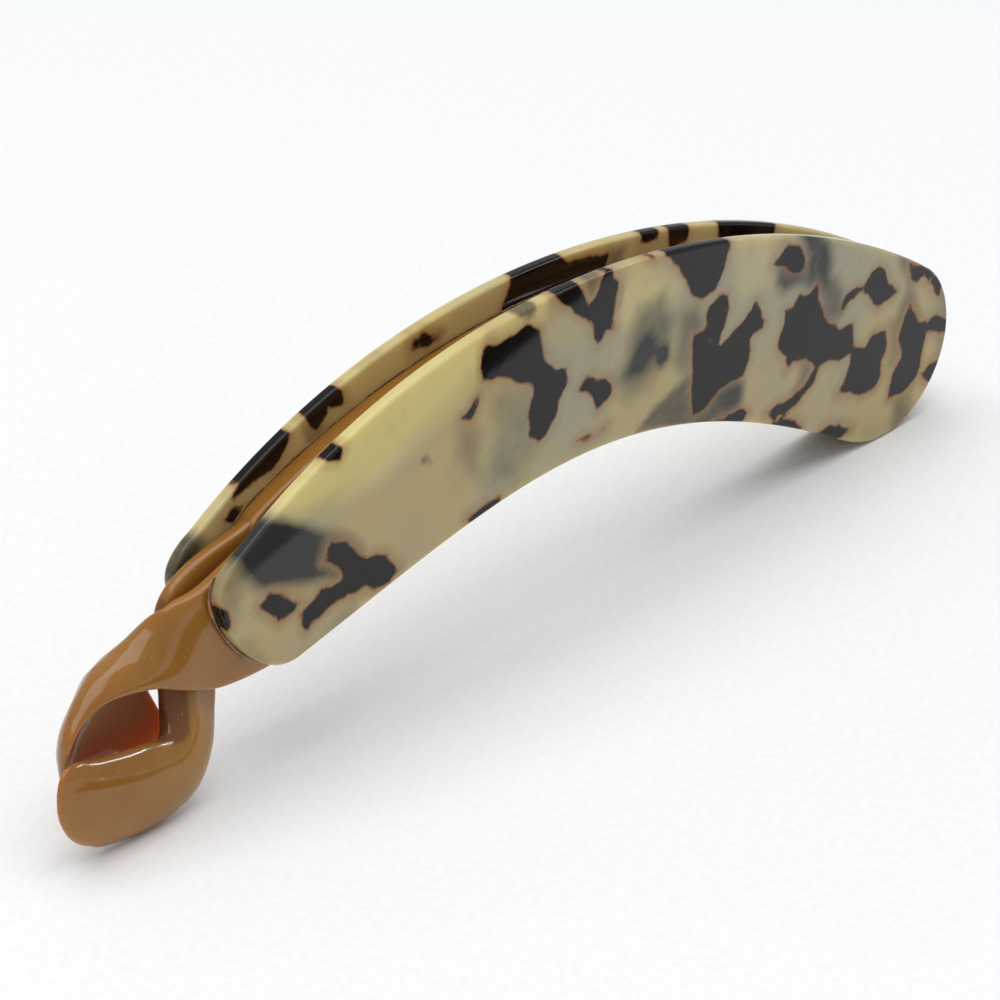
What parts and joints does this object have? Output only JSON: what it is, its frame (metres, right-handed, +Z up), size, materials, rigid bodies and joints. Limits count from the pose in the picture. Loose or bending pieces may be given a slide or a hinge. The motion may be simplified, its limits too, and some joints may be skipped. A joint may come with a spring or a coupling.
{
  "type": "banana hair clip",
  "caption": "Curved interlocking banana hair clip: two hinged comb arms faced with tortoiseshell plates, closed by twisted tails.",
  "frame": {"origin": "on the surface the clip stands on, under the middle of its bounding box", "axes": "+X along the clip from the clasp tails to the hinge end, +Z up through the arch, -Y out of the near plate"},
  "size_m": [0.1662, 0.0098, 0.0441],
  "materials": {
    "tortoiseshell": "polished cellulose acetate, cream with dark brown and grey blotches",
    "arm_plastic": "glossy translucent caramel moulding",
    "adhesive": "clear hardened adhesive",
    "pin_steel": "drawn wire"
  },
  "bodies": {
    "far_arm": {"far_rail": "arm_plastic", "far_teeth": "arm_plastic", "far_tail": "arm_plastic", "far_adhesive": "adhesive", "far_plate": "tortoiseshell", "hinge_pin": "pin_steel"},
    "near_arm": {"near_rail": "arm_plastic", "near_teeth": "arm_plastic", "near_tail": "arm_plastic", "near_adhesive": "adhesive", "near_plate": "tortoiseshell"}
  },
  "joints": [
    {"name": "arm_open", "type": "hinge", "parent": "far_arm", "child": "near_arm", "pos_m": [0.0731, 0, 0.0098], "axis": [0.4695, 0, 0.8829], "range_deg": [0, 32]}
  ]
}
